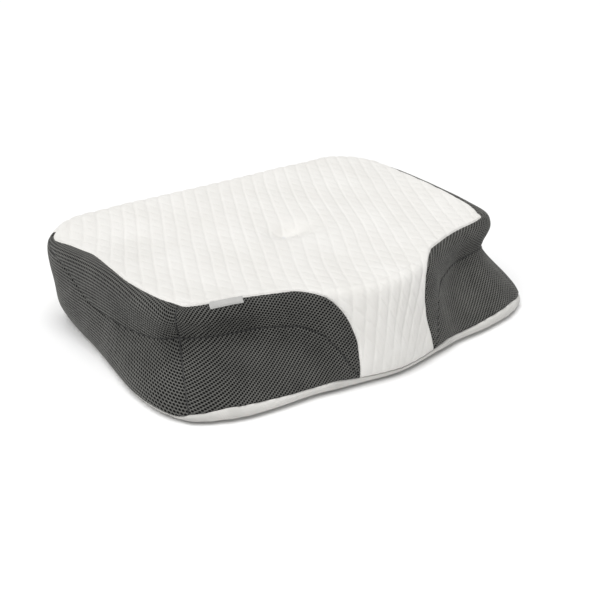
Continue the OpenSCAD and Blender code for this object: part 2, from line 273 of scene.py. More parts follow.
def pattern(s, v):
    """Where a point of the wall lies on the top panel's flat cutting pattern."""
    e = 0.05
    s = np.asarray(s, float)
    at_crest = np.full(s.shape, CREST)
    crest = ring_point(s % ROUND, at_crest)
    along = ring_point((s + e) % ROUND, at_crest) - ring_point((s - e) % ROUND, at_crest)
    out = unit(np.stack([along[..., 1], -along[..., 0]], -1))
    down = up_cloth(s, np.full(s.shape, float(CREST))) - up_cloth(s, v)
    return np.where((v >= CREST)[..., None], skin(s, v)[..., :2], crest[..., :2] + out * down[..., None])


# ------------------------------------------------------------------ small shapes on the cloth
def waves(p, size, seeds):
    """Smooth unevenness from -1 to 1 over points p, with features about that size."""
    total = 0
    for k in range(seeds, seeds + 5):
        turn = 2.399 * k
        pitch = size * (0.7 + 0.17 * (k % 5))
        along = p[..., 0] * math.cos(turn) + p[..., 1] * math.sin(turn)
        total = total + np.sin(along / pitch * 2 * math.pi + 1.7 * k)
    return total / 5


QUILT_TURN = math.radians(28)
QUILT_PITCH = 18.5 * math.cos(QUILT_TURN)
QUILT_RISE = 1.5
QUILT_SINK = 0.4


def quilt(p):
    """Height of the padded cells over the flat pattern: two crossing families of sewn lines."""
    slow = np.stack([waves(p, 210, 3), waves(p, 230, 11)], -1)
    brisk = np.stack([waves(p, 60, 21), waves(p, 70, 31)], -1)
    drift = slow * 3.2 + brisk * 0.6
    away = p - np.array([0, DIMPLE_Y])
    near = bell(np.linalg.norm(away, axis=-1) / 75)
    q = p + drift - away * 0.10 * near[..., None]
    c, s = math.cos(QUILT_TURN), math.sin(QUILT_TURN)
    lines = []
    for side in (1, -1):
        across = (q[..., 0] * c - side * q[..., 1] * s) / QUILT_PITCH
        lines.append(np.abs(np.sin(math.pi * across)))
    first, second = lines
    rib = 1 - np.exp(-first / 0.26)
    cell = 1 - np.exp(-second / 0.2)
    cross = 0.36 + 0.3 * np.clip((-70 - p[..., 1]) / 60, 0, 1)
    full = rib * (1 - cross + cross * cell) * (0.76 + 0.24 * np.sqrt(first * second))
    return QUILT_RISE * full * (1 + 0.12 * waves(p, 90, 41)) - QUILT_SINK


def crease(points, start, end, depth, width):
    """A soft fold pressed in along a line between two points, fading out at both ends."""
    a, b = np.array(start, float), np.array(end, float)
    d = b - a
    t = ((points - a) @ d) / (d @ d)
    off = np.linalg.norm(points - (a + np.clip(t, 0, 1)[..., None] * d), axis=-1)
    ends = np.clip(t, 0, 1) * (1 - np.clip(t, 0, 1)) * 4
    return -depth * bell(off / width) * np.sqrt(ends)


# ------------------------------------------------------------------ mesh building
class Cloth:
    """Grids of points on the cover, joined where they meet."""

    def __init__(self):
        self.points, self.normals, self.patterns, self.faces = [], [], [], []
        self.count = 0

    def grid(self, points, normals, patterns, flip=False):
        rows, cols = points.shape[:2]
        index = self.count + np.arange(rows * cols).reshape(rows, cols)
        quads = np.stack([index[:-1, :-1], index[:-1, 1:], index[1:, 1:], index[1:, :-1]], -1).reshape(-1, 4)
        self.faces.append(quads[:, ::-1] if flip else quads)
        self.points.append(points.reshape(-1, 3))
        self.normals.append(normals.reshape(-1, 3))
        self.patterns.append(patterns.reshape(-1, 2))
        self.count += rows * cols

    def wall(self, s, v, depth):
        """Points at stations s and levels v, pushed in by depth."""
        n = outward(s, v)
        self.grid(skin(s, v) - n * depth[..., None], n, pattern(s, v))

    def joined(self):
        points, normals, patterns = map(np.concatenate, (self.points, self.normals, self.patterns))
        places = np.round(points / 0.004).astype(int)
        _, first, back = np.unique(places, axis=0, return_index=True, return_inverse=True)
        faces = back.reshape(-1)[np.concatenate(self.faces)]
        whole = (faces != np.roll(faces, 1, 1)).all(1)
        return points[first], normals[first], patterns[first], faces[whole]


def hem(s, v, bottom=0, top=0, left=0, right=0):
    """Adds rows or columns beyond a grid's edges, for cloth turned in under a seam."""
    pad = ((2 * bottom, 2 * top), (2 * left, 2 * right))
    depth = np.pad(np.zeros(s.shape), pad, "linear_ramp", end_values=HEM)
    return np.pad(s, pad, "edge"), np.pad(v, pad, "edge"), depth


HEM = 2.4


def spread(first, last, n):
    """n + 1 stations between two, evenly spaced along the cloth."""
    fine = np.linspace(first, last, 600)
    length = TABLE_ROUND[CREST][-1]
    at = np.interp(fine % ROUND, TABLE_S, TABLE_ROUND[CREST]) + np.floor(fine / ROUND) * length
    return np.interp(np.linspace(at[0], at[-1], n + 1), at, fine)


def rows_between(s, low, high, n):
    """Levels from low to high at each station, evenly spaced along the cloth, as n + 1 rows."""
    share = np.linspace(0, 1, n + 1)[:, None]
    a, b = up_cloth(s, low), up_cloth(s, high)
    v = level_at(s[None] + 0 * share, a + (b - a) * share)
    v[0], v[-1] = low, high
    return np.broadcast_to(s, v.shape), v


def near_seams(points, lines, reach):
    """Distance from each point to the nearest of the seam lines, up to reach."""
    seams = np.concatenate(lines)
    tree = KDTree(len(seams))
    for i, p in enumerate(seams):
        tree.insert(p, i)
    tree.balance()
    return np.array([min(tree.find(p)[2], reach) for p in points])


def seam_line(stations, levels):
    """Points about 0.7 mm apart along a seam."""
    line = skin(stations, levels)
    at = np.pad(np.cumsum(np.linalg.norm(np.diff(line, axis=0), axis=1)), (1, 0))
    even = np.linspace(0, at[-1], max(2, int(at[-1] / 0.7)))
    return np.stack([np.interp(even, at, line[:, k]) for k in range(3)], 1)


def rolled(distance, radius):
    """How far cloth dips as it turns in at a seam."""
    x = np.clip(1 - distance / radius, 0, 1)
    return radius * (1 - np.sqrt(1 - x * x))


def to_object(name, points, faces, materials, slots=None, smooth=True, pattern_at=None):
    """A mesh object from points in millimetres."""
    mesh = bpy.data.meshes.new(name)
    mesh.from_pydata((np.asarray(points) * MM).tolist(), [], [list(map(int, f)) for f in faces])
    for m in materials:
        mesh.materials.append(m)
    if slots is not None:
        mesh.polygons.foreach_set("material_index", np.asarray(slots, np.int32))
    mesh.polygons.foreach_set("use_smooth", np.full(len(mesh.polygons), smooth))
    if pattern_at is not None:
        attribute = mesh.attributes.new("pattern", "FLOAT_VECTOR", "POINT")
        flat = np.zeros((len(points), 3), np.float32)
        flat[:, :2] = pattern_at * MM
        attribute.data.foreach_set("vector", flat.ravel())
    mesh.validate()
    mesh.update()
    obj = bpy.data.objects.new(name, mesh)
    bpy.context.scene.collection.objects.link(obj)
    return obj


def join_parts(parts):
    """Point and face lists of several shapes as one."""
    points, faces, count = [], [], 0
    for p, f in parts:
        points.append(np.asarray(p, float))
        faces += [[int(i) + count for i in face] for face in f]
        count += len(p)
    return np.concatenate(points), faces


def tube(path, radius, sides):
    """A closed tube along a path, as points and faces."""
    path = np.asarray(path, float)
    along = unit(np.gradient(path, axis=0))
    side = unit(np.cross(along, np.array([0.3, 0.2, 1.0])))
    up = np.cross(side, along)
    turn = np.linspace(0, 2 * math.pi, sides, endpoint=False)
    radius = np.broadcast_to(radius, len(path))[:, None, None]
    ring = side[:, None] * np.cos(turn)[None, :, None] + up[:, None] * np.sin(turn)[None, :, None]
    points = (path[:, None] + ring * radius).reshape(-1, 3)
    n = len(path)
    faces = [
        (i * sides + k, i * sides + (k + 1) % sides, (i + 1) * sides + (k + 1) % sides, (i + 1) * sides + k)
        for i in range(n - 1) for k in range(sides)
    ]
    faces.append(tuple(range(sides))[::-1])
    faces.append(tuple((n - 1) * sides + k for k in range(sides)))
    return points, faces


# ------------------------------------------------------------------ materials
class Nodes:
    """Short names for making a material's nodes."""

    def __init__(self, name):
        self.material = bpy.data.materials.new(name)
        self.material.use_nodes = True
        self.tree = self.material.node_tree
        self.shader = self.tree.nodes["Principled BSDF"]

    def add(self, kind, inputs=None, **settings):
        node = self.tree.nodes.new(kind)
        for key, value in settings.items():
            setattr(node, key, value)
        for key, value in (inputs or {}).items():
            if isinstance(value, bpy.types.NodeSocket):
                self.tree.links.new(value, node.inputs[key])
            else:
                node.inputs[key].default_value = value
        return node

    def math(self, operation, a, b=0.0):
        return self.add("ShaderNodeMath", {0: a, 1: b}, operation=operation).outputs[0]

    def where(self, attribute=None):
        """The point's place, in metres: on the flat pattern, or in the object."""
        if attribute:
            return self.add("ShaderNodeAttribute", attribute_name=attribute).outputs["Vector"]
        return self.add("ShaderNodeTexCoord").outputs["Object"]

    def noise(self, place, scale, detail=2.0, rough=0.5):
        inputs = {"Vector": place, "Scale": scale, "Detail": detail, "Roughness": rough}
        return self.add("ShaderNodeTexNoise", inputs).outputs["Fac"]

    def ramp(self, value, low, high, to_low=0.0, to_high=1.0):
        inputs = {"Value": value, "From Min": low, "From Max": high, "To Min": to_low, "To Max": to_high}
        return self.add("ShaderNodeMapRange", inputs).outputs["Result"]

    def mix(self, share, a, b):
        node = self.add("ShaderNodeMix", data_type="RGBA")
        for socket, value in (("Factor_Float", share), ("A_Color", a), ("B_Color", b)):
            target = next(i for i in node.inputs if i.identifier == socket)
            if isinstance(value, bpy.types.NodeSocket):
                self.tree.links.new(value, target)
            else:
                target.default_value = value
        return next(o for o in node.outputs if o.identifier == "Result_Color")

    def bump(self, height, distance, strength):
        inputs = {"Height": height, "Distance": distance, "Strength": strength}
        return self.add("ShaderNodeBump", inputs).outputs["Normal"]

    def finish(self, color=None, roughness=None, normal=None, **fixed):
        for socket, value in (("Base Color", color), ("Roughness", roughness), ("Normal", normal)):
            if isinstance(value, bpy.types.NodeSocket):
                self.tree.links.new(value, self.shader.inputs[socket])
            elif value is not None:
                self.shader.inputs[socket].default_value = value
        for key, value in fixed.items():
            self.shader.inputs[key.replace("_", " ")].default_value = value
        return self.material


def knit(name, color, shade, loop, relief=0.00025, attribute="pattern"):
    """Fine weft knit: columns of small V-shaped loops, loop metres wide."""
    n = Nodes(name)
    place = n.where(attribute)
    split = n.add("ShaderNodeSeparateXYZ", {0: place})
    x, y = split.outputs["X"], split.outputs["Y"]
    column = n.math("ABSOLUTE", n.math("SINE", n.math("MULTIPLY", x, math.pi / loop)))
    lean = n.math("MULTIPLY", column, loop * 0.55)
    row = n.math("SINE", n.math("MULTIPLY", n.math("ADD", y, lean), 2 * math.pi / (loop * 0.8)))
    row = n.ramp(row, -1, 1)
    loops = n.math("MULTIPLY", n.math("POWER", column, 0.6), n.math("ADD", n.math("MULTIPLY", row, 0.6), 0.4))
    fuzz = n.noise(place, 900, 3, 0.6)
    height = n.math("ADD", loops, n.math("MULTIPLY", fuzz, 0.5))
    blotch = n.noise(place, 14, 3, 0.55)
    # the colour is partly painted shade, darker in the hollows between loops, and partly random tone from the
    # blotches
    tone = n.math("ADD", n.math("MULTIPLY", loops, 0.5), n.math("MULTIPLY", n.ramp(blotch, 0.35, 0.65), 0.5))
    return n.finish(
        color=n.mix(tone, shade, color),
        roughness=n.ramp(fuzz, 0.3, 0.7, 0.82, 0.95),
        normal=n.bump(height, relief, 0.8),
        Sheen_Weight=0.25, Sheen_Roughness=0.45, Specular_IOR_Level=0.25,
    )


def net_yarn(name="spacer_mesh_ribs"):
    """The ribs of the spacer mesh: bundles of charcoal yarn with a slight gloss."""
    n = Nodes(name)
    place = n.where()
    yarn = n.noise(place, 1500, 2, 0.6)
    patch = n.noise(place, 30, 3, 0.6)
    fine = n.math("MULTIPLY", n.ramp(yarn, 0.35, 0.65), 0.65)
    broad = n.math("MULTIPLY", n.ramp(patch, 0.3, 0.7), 0.35)
    tone = n.math("ADD", fine, broad)
    return n.finish(
        color=n.mix(tone, (0.050, 0.050, 0.046, 1), (0.165, 0.164, 0.152, 1)),
        roughness=n.ramp(yarn, 0.3, 0.7, 0.5, 0.75),
        normal=n.bump(yarn, 0.0003, 0.9),
        Sheen_Weight=0.15, Sheen_Roughness=0.5, Specular_IOR_Level=0.4,
    )


def net_hole_threads_and_shade(name="spacer_mesh_hole_threads_and_shade"):
    """The inside of the spacer mesh, where fine pile threads cross between its two faces: their dark tone,
    with painted shade that makes it near black, far darker than the ribs' yarn.
    """
    n = Nodes(name)
    place = n.where()
    threads = n.noise(place, 2200, 1, 0.5)
    return n.finish(
        color=n.mix(n.ramp(threads, 0.4, 0.7), (0.004, 0.004, 0.004, 1), (0.014, 0.014, 0.013, 1)),
        roughness=0.9,
        normal=n.bump(threads, 0.0004, 1.0),
    )


def satin(name, color, shade):
    """Woven label satin: fine floats across, with a soft gloss."""
    n = Nodes(name)
    place = n.where()
    drawn_out = n.add("ShaderNodeMapping", {"Vector": place, "Scale": (600, 600, 4200)}).outputs[0]
    floats = n.noise(drawn_out, 1.0, 2, 0.5)
    cloudy = n.noise(place, 60, 2, 0.5)
    return n.finish(
        color=n.mix(n.math("MULTIPLY", n.math("ADD", floats, cloudy), 0.5), shade, color),
        roughness=n.ramp(floats, 0.3, 0.7, 0.35, 0.55),
        normal=n.bump(floats, 0.00012, 0.6),
        Sheen_Weight=0.3, Sheen_Roughness=0.3, Anisotropic=0.4,
    )


def tape_weave(name, color, shade, rib=0.0009):
    """Narrow woven tape with ribs across it."""
    n = Nodes(name)
    place = n.where()
    split = n.add("ShaderNodeSeparateXYZ", {0: place})
    a = n.math("SINE", n.math("MULTIPLY", split.outputs["X"], 2 * math.pi / rib))
    b = n.math("SINE", n.math("MULTIPLY", split.outputs["Z"], 2 * math.pi / (rib * 0.8)))
    weave = n.ramp(n.math("MULTIPLY", a, b), -1, 1)
    # the colour is painted shade: darker in the weave's hollows, from the same pattern as the bump
    return n.finish(
        color=n.mix(weave, shade, color), roughness=0.8, normal=n.bump(weave, 0.0002, 0.8), Sheen_Weight=0.2,
    )


def plastic(name, color, shade):
    n = Nodes(name)
    wear = n.noise(n.where(), 420, 3, 0.6)
    return n.finish(
        color=n.mix(wear, shade, color), roughness=n.ramp(wear, 0.3, 0.7, 0.3, 0.5),
        normal=n.bump(wear, 0.0001, 0.3), Specular_IOR_Level=0.5,
    )


def painted_metal(name, color, shade):
    """Enamelled die casting with a little orange peel, duller where fingers rub it."""
    n = Nodes(name)
    place = n.where()
    peel = n.noise(place, 700, 2, 0.5)
    rubbed = n.noise(place, 160, 3, 0.6)
    return n.finish(
        color=n.mix(rubbed, shade, color), roughness=n.ramp(rubbed, 0.3, 0.7, 0.22, 0.42),
        normal=n.bump(peel, 0.00008, 0.4), Metallic=0.0, Coat_Weight=0.4, Coat_Roughness=0.2,
    )


def foam(name="memory_foam"):
    n = Nodes(name)
    place = n.where()
    cells = n.add("ShaderNodeTexVoronoi", {"Vector": place, "Scale": 700}).outputs["Distance"]
    cloudy = n.noise(place, 25, 3, 0.5)
    # the colour is darker in the pores, painted shade from the cell pattern, and varies at random with the
    # cloudy noise
    return n.finish(
        color=n.mix(n.math("MULTIPLY", cells, cloudy), (0.62, 0.55, 0.38, 1), (0.86, 0.80, 0.62, 1)),
        roughness=0.95, normal=n.bump(cells, 0.0004, 0.8), Subsurface_Weight=0.1,
    )


WHITE, WHITE_SHADE = (0.88, 0.868, 0.84, 1), (0.80, 0.785, 0.75, 1)
quilt_cloth = knit("quilted_white_knit", WHITE, WHITE_SHADE, 0.0011)
# the bottom knit is white like the top; its darker colours paint the shade on the low band round the foot
bottom_cloth_with_shade = knit("plain_white_knit_painted_shade", (0.74, 0.728, 0.70, 1), (0.62, 0.608, 0.58, 1), 0.0014, 0.0003)
liner_cloth = knit("liner_knit", (0.80, 0.80, 0.80, 1), (0.70, 0.70, 0.70, 1), 0.0012, 0.0002, None)
ribs, hole_threads_and_shade = net_yarn(), net_hole_threads_and_shade()


# ------------------------------------------------------------------ camera, light and floor
def look_camera():
    """The photograph's viewpoint: above the front left corner, looking back to the right."""
    data = bpy.data.cameras.new("camera")
    data.lens, data.sensor_width = 67.4, 36
    cam = bpy.data.objects.new("camera", data)
    heading, pitch, roll = (math.radians(a) for a in (38.62, 26.75, 2.0))
    level_view = Euler((math.pi / 2 - pitch, 0, -heading)).to_matrix()
    cam.rotation_euler = (level_view @ Matrix.Rotation(roll, 3, "Z")).to_euler()
    cam.location = (-0.7871, -0.992, 0.653)
    bpy.context.scene.collection.objects.link(cam)
    bpy.context.scene.camera = cam


def lamp(name, direction, energy, spread_deg):
    """A broad distant light that shines along direction."""
    data = bpy.data.lights.new(name, "SUN")
    data.energy, data.angle = energy, math.radians(spread_deg)
    obj = bpy.data.objects.new(name, data)
    obj.rotation_euler = Vector(direction).to_track_quat("-Z", "Y").to_euler()
    bpy.context.scene.collection.objects.link(obj)


def studio():
    scene = bpy.context.scene
    scene.view_settings.view_transform = "Standard"
    world = bpy.data.worlds.new("studio")
    world.use_nodes = True
    world.node_tree.nodes["Background"].inputs[0].default_value = (1, 1, 1, 1)
    world.node_tree.nodes["Background"].inputs[1].default_value = 0.3
    scene.world = world
    lamp("overhead", (0.22, 0.05, -1), 2.6, 55)
    lamp("left", (0.85, 0.3, -0.6), 0.3, 50)
    size = 12
    corners = np.array([(-size, -size, 0), (size, -size, 0), (size, size, 0), (-size, size, 0)])
    floor = to_object("floor", corners / MM, [(0, 1, 2, 3)], [floor_paint()], smooth=False)
    floor.location.z = -0.0004


def floor_paint():
    n = Nodes("pale_floor")
    grain = n.noise(n.where(), 3, 2, 0.5)
    return n.finish(color=n.mix(grain, (0.92, 0.92, 0.92, 1), (0.94, 0.94, 0.94, 1)), roughness=0.9)


look_camera()
studio()


# ------------------------------------------------------------------ the cover
STEP = 1.8
DEEPEST = 5
END_BULGE = 4
PUCKER = (CORNER, 4.22)


def around_counts(step=STEP):
    """Stations round the quilted panel, and how many columns each side has."""
    def length(a, b):
        return np.interp(b, TABLE_S, TABLE_ROUND[CREST]) - np.interp(a, TABLE_S, TABLE_ROUND[CREST])

    n_tongue = 2 * round(length(0, TONGUE_TOP) / step)
    n_front = round(length(TONGUE_TOP, CORNER) / step)
    n_end = round(length(CORNER, MESH_END) / step)
    n_back = n_tongue + 2 * n_front
    parts = [
        spread(-CORNER, -TONGUE_TOP, n_front)[:-1], spread(-TONGUE_TOP, TONGUE_TOP, n_tongue)[:-1],
        spread(TONGUE_TOP, CORNER, n_front)[:-1], spread(CORNER, MESH_END, n_end)[:-1],
        spread(MESH_END, ROUND - MESH_END, n_back)[:-1], spread(ROUND - MESH_END, ROUND - CORNER, n_end),
    ]
    return np.concatenate(parts), n_back, n_end


def coons(ring, n_across, n_deep):
    """A grid of plan points inside a ring that starts at the front left corner."""
    front = ring[:n_across + 1]
    right = ring[n_across:n_across + n_deep + 1]
    back = ring[n_across + n_deep:2 * n_across + n_deep + 1][::-1]
    left = ring[2 * n_across + n_deep:2 * (n_across + n_deep) + 1][::-1]
    u = np.linspace(0, 1, n_across + 1)[None, :, None]
    w = np.linspace(0, 1, n_deep + 1)[:, None, None]
    grid = (1 - w) * front[None] + w * back[None] + (1 - u) * left[:, None] + u * right[:, None]
    corners = (1 - u) * (1 - w) * front[0] + u * (1 - w) * front[-1]
    corners = corners + (1 - u) * w * back[0] + u * w * back[-1]
    grid = grid - corners
    grid[0], grid[-1], grid[:, 0], grid[:, -1] = front, back, left, right
    return grid


def top_points(plan):
    """The top face above plan points."""
    angle = np.arctan2(plan[..., 0], -plan[..., 1]) % (2 * math.pi)
    crest = plain_skin(TABLE_S, np.full(TABLE_S.shape, float(CREST)))
    crest_angle = np.arctan2(crest[:, 0], -crest[:, 1]) % (2 * math.pi)
    crest_angle[-1] = 2 * math.pi
    far = np.interp(angle, crest_angle, np.linalg.norm(crest[:, :2], axis=1))
    edge_z = np.interp(angle, crest_angle, crest[:, 2])
    out = np.linalg.norm(plan[..., :2], axis=-1) / far
    return np.concatenate([plan[..., :2], top_height(plan, edge_z, out)[..., None]], -1)


def grid_normals(points):
    return unit(np.cross(np.gradient(points, axis=1), np.gradient(points, axis=0)))


def slot_edge(s, level_full):
    """The level of the zip slot's edge: it opens between two stations on each side."""
    middle = zip_level(0)
    return np.interp(half_of(s), [ZIP_START, ZIP_FULL], [middle, level_full])


def tongue_side(v):
    """The station of the tongue's side seam at a level."""
    s, level = SEAMS["top"]
    keep = s <= TONGUE_TOP + 1e-6
    return np.interp(v, np.maximum.accumulate(level[keep]), s[keep], left=MESH_START)


def pockets(points):
    """Where the cover is drawn in: the recesses at the front corners' seams."""
    total = 0
    for s in (PUCKER[0], ROUND - PUCKER[0]):
        at = skin(s, PUCKER[1])
        off = (points - at) / np.array([16, 16, 13])
        total = total - 2.6 * bell(np.linalg.norm(off, axis=-1))
    return total


def quilted_top():
    cloth = Cloth()
    around, n_back, n_end = around_counts()
    half = half_of(around)
    join = float(seam("top", TONGUE_TOP))
    edge = np.where(half > MESH_END - 1e-6, seam("top", MESH_END), seam("top", around))
    edge = np.where(half < TONGUE_TOP, join, edge)
    n_band = round(78 / STEP)
    s, v = rows_between(around, edge, np.full(around.shape, 7.0), n_band)
    # the turned-in hem follows only where the band's own edge is a seam
    sewn = (half >= TONGUE_TOP - 1e-6) & (half <= MESH_END + 1e-6)
    cloth.wall(s, v, np.zeros(v.shape))
    for a, b in runs(sewn):
        cs, cv, depth = hem(s[:1, a:b], v[:1, a:b], bottom=1)
        cloth.wall(cs, cv, depth)

    # the tongue, between its two side seams
    low = float(seam("low", 0))
    n_cols = int(np.sum(half <= TONGUE_TOP + 1e-6)) - 1
    share = np.linspace(-1, 1, n_cols + 1)
    start, end = up_cloth(0.0, low), up_cloth(0.0, join)
    n_rows = round(float(end - start) / STEP)
    rise = np.linspace(0, 1, n_rows + 1)[:, None]
    climb = start + (end - start) * rise + np.zeros_like(share)
    level = level_at(np.zeros_like(climb), climb)
    level[0], level[-1] = low, join
    side = tongue_side(level)
    stations = side * share[None]
    level = level + (seam("low", stations) - low) * (1 - rise) ** 3
    tongue_cols = np.where(half <= TONGUE_TOP + 1e-6)[0]
    stations[-1] = around[tongue_cols]
    ts, tv, depth = hem(stations, level, bottom=1, left=1, right=1)
    cloth.wall(ts, tv, depth)

    # the back wrap, down to the zip
    cols = np.where(half >= MESH_END - 1e-6)[0]
    back = around[cols]
    bottom = slot_edge(back, zip_level(slot_half()))
    bs, bv = rows_between(back, bottom, edge[cols], round(62 / STEP))
    bs, bv, depth = hem(bs, bv, bottom=1, left=1, right=1)
    cloth.wall(bs, bv, depth)

    # the middle of the top
    ring = plain_skin(around, np.full(around.shape, 7.0))
    top = top_points(coons(ring[:, :3], n_back, n_end))
    n = grid_normals(top)
    cloth.grid(top, n, top[..., :2])

    points, normals, flat, faces = cloth.joined()
    lines = quilt_edges(low)
    distance = near_seams(points, lines, 20)
    fade = np.clip(distance / 4.5, 0, 1) * (1 - 0.5 * np.clip((70 - points[:, 2]) / 40, 0, 1))
    height = quilt(flat) * (0.15 + 0.85 * fade) - rolled(distance, 3.2)
    height = height + 0.8 * waves(flat, 120, 51) * np.clip(distance / 15, 0, 1)
    height = np.maximum(height + pockets(points) * 0.4 + top_creases(points), -DEEPEST)
    points = points + normals * height[:, None]
    return to_object("quilted_cover_top", points, faces, [quilt_cloth], pattern_at=flat)


def runs(mask):
    """(start, end) of each unbroken run of true values."""
    edges = np.diff(np.pad(mask.astype(int), 1))
    return list(zip(np.where(edges == 1)[0], np.where(edges == -1)[0]))


def quilt_edges(low):
    """The quilted panel's sewn edge, as lines of points."""
    lines = []
    fine = np.linspace(TONGUE_TOP, MESH_END, 500)
    rise = np.linspace(low, float(seam("top", TONGUE_TOP)), 200)
    across = np.linspace(-MESH_START, MESH_START, 100)
    drop = np.linspace(zip_level(0), float(seam("top", MESH_END)), 100)
    for side in (1, -1):
        lines.append(seam_line(side * fine, seam("top", side * fine)))
        lines.append(seam_line(side * tongue_side(rise), rise))
        lines.append(seam_line(np.full(100, side * MESH_END), drop))
    lines.append(seam_line(across, seam("low", across)))
    back = np.linspace(MESH_END, ROUND - MESH_END, 900)
    lines.append(seam_line(back, slot_edge(back, zip_level(slot_half()))))
    return lines


def top_creases(points):
    """Small folds: beside the dimple, along the front left edge, and at the tongue's foot."""
    z = HEIGHT - 4
    away = (points - np.array([-5, DIMPLE_Y + 3, HEIGHT - HOLLOW - DIMPLE_DEPTH])) / np.array([21, 13, 20])
    total = -4.2 * bell(np.linalg.norm(away, axis=-1))
    for start, end, depth, width in (
        ((-22, 4, z), (34, -4, z), 1.8, 3.5), ((6, 14, z), (52, 28, z), 1.4, 3),
        ((-34, 26, z), (-6, 40, z), 1.2, 3.5), ((12, 2, z), (46, 8, z), 0.9, 3),
        ((-236, -60, z), (-212, -96, z), 1.3, 4), ((-226, -78, z), (-188, -104, z), 1.1, 4),
        ((-205, -84, z), (-166, -100, z), 0.7, 4), ((236, -62, z), (214, -94, z), 1.1, 4),
        ((-40, -198, 18), (-12, -196, 40), 0.8, 4), ((20, -197, 20), (44, -190, 46), 0.7, 4),
    ):
        total = total + crease(points, start, end, depth, width)
    return total


# ------------------------------------------------------------------ the spacer mesh
def net_panel(name, first, last, low, high, turn_deg, pitch, row):
    """A panel of open mesh: six ribs round each hole, between two seams and two stations."""
    first, last = sorted((first, last))

    def low_v(s):
        return seam(low, s)

    def high_v(s):
        return seam(high, s)

    at = np.interp(np.array([first, last]) % ROUND, TABLE_S, TABLE_ROUND[4])
    fine = np.linspace(first, last, 400)
    reach = up_cloth(fine, high_v(fine)).max()
    floor = up_cloth(fine, low_v(fine)).min()
    turn = math.radians(turn_deg)
    c, s_ = math.cos(turn), math.sin(turn)
    size = math.hypot(at[1] - at[0], reach - floor)
    middle = np.array([(at[0] + at[1]) / 2, (reach + floor) / 2])
    rows = np.arange(-int(size / 2 / row) - 2, int(size / 2 / row) + 3)
    cols = np.arange(-int(size / 2 / pitch) - 2, int(size / 2 / pitch) + 3)
    j, i = np.meshgrid(rows, cols, indexing="ij")
    centre = np.stack([(i + 0.5 * (j % 2)) * pitch, j * row], -1).reshape(-1, 2)
    corner = np.array([(0, 2 / 3), (-0.5, 1 / 3), (-0.5, -1 / 3), (0, -2 / 3), (0.5, -1 / 3), (0.5, 1 / 3)])
    corner = corner * np.array([pitch, row])
    # each ring of a cell: its size along the row and across it, and how deep it lies
    rings = ((1.0, 1.0, 0.0), (0.84, 0.70, 0.1), (0.77, 0.60, 0.6), (0.72, 0.54, 1.9))
    sides = len(corner)
    n_points = sides * len(rings)
    flat = np.concatenate([centre[:, None] + corner[None] * np.array([a, b]) for a, b, _ in rings], 1)
    depth = np.concatenate([np.full(sides, d) for _, _, d in rings])

    # from the lattice to the cloth
    spot = flat @ np.array([[c, s_], [-s_, c]]) + middle
    station = np.interp(spot[..., 0], TABLE_ROUND[4], TABLE_S)
    inside_s = (station > first) & (station < last)
    station = np.clip(station, first, last)
    level = level_at(station, spot[..., 1])
    inside = inside_s & (level > low_v(station)) & (level < high_v(station))
    level = np.clip(level, low_v(station), high_v(station))
    keep = inside[:, :sides].any(1)
    station, level = station[keep], level[keep]
    n_cells = len(station)
    base = skin(station, level)
    normal = outward(station, level)

    # ribs stand a little proud of the seams' rolled edges
    lines = [seam_line(fine, low_v(fine)), seam_line(fine, high_v(fine))]
    for s in (first, last):
        if high_v(s) - low_v(s) > 0.05:
            lines.append(seam_line(np.full(60, s), np.linspace(low_v(s), high_v(s), 60)))
    flat_base = base.reshape(-1, 3)
    distance = near_seams(flat_base, lines, 30).reshape(n_cells, n_points)
    swell = 1.1 * np.clip(distance / 22, 0, 1) ** 0.7
    swell = swell + END_BULGE * bell((half_of(station) - 8) / 1.1) * bell((level - 3.8) / 0.7)
    depth_in = np.broadcast_to(depth, (n_cells, n_points)) * np.clip(distance / 1.5, 0, 1)
    ripple = 0.5 * waves(base[..., :2] + base[..., 2:], 70, 7)
    out = swell - rolled(distance, 2.6) - depth_in + pockets(base) + ripple
    points = base + normal * np.maximum(out, -DEEPEST)[..., None]

    quads = np.array([
        (r * sides + k, r * sides + (k + 1) % sides, (r + 1) * sides + (k + 1) % sides, (r + 1) * sides + k)
        for r in range(len(rings) - 1) for k in range(sides)
    ])
    cell = np.arange(n_cells)[:, None, None] * n_points
    walls = (cell + quads[None]).reshape(-1, 4)
    # the innermost walls and the floor take the second material, whose near-black colour paints the shade
    # inside each hole
    wall_slot = np.tile((np.arange(len(quads)) >= len(quads) - sides).astype(int), n_cells)
    floors = np.arange(n_cells)[:, None] * n_points + n_points - sides + np.arange(sides)[None]

    # corners shared between neighbouring cells become one point
    key = np.round(points.reshape(-1, 3) / 0.01).astype(int)
    _, keep_at, back = np.unique(key, axis=0, return_index=True, return_inverse=True)
    back = back.reshape(-1)
    points = points.reshape(-1, 3)[keep_at]
    faces, slots = [], []
    p = points
    walls = back[walls]
    a, b, cc, d = (p[walls[:, k]] for k in range(4))
    area = np.linalg.norm(np.cross(cc - a, d - b), axis=1)
    for f, slot, big in zip(walls, wall_slot, area > 0.03):
        unique = list(dict.fromkeys(f.tolist()))
        if big and len(unique) >= 3:
            faces.append(unique)
            slots.append(int(slot))
    floors = back[floors]
    diagonals = p[floors[:, 3]] - p[floors[:, 0]], p[floors[:, 4]] - p[floors[:, 1]]
    spread_ = np.linalg.norm(np.cross(*diagonals), axis=1)
    for f, big in zip(floors, spread_ > 0.1):
        unique = list(dict.fromkeys(f.tolist()))
        if big and len(unique) >= 3:
            faces.append(unique)
            slots.append(1)
    return to_object(name, points, faces, [ribs, hole_threads_and_shade], slots)


# ------------------------------------------------------------------ the zip's own frame
hinge = next(j for j in frame["joints"] if j["name"] == "pull_hinge")
ZIP_DOWN = np.array(hinge["axis"], float)
ZIP_OUT = np.array([0, -ZIP_DOWN[2], ZIP_DOWN[1]])
PIN = np.array(hinge["pos_m"], float) / MM


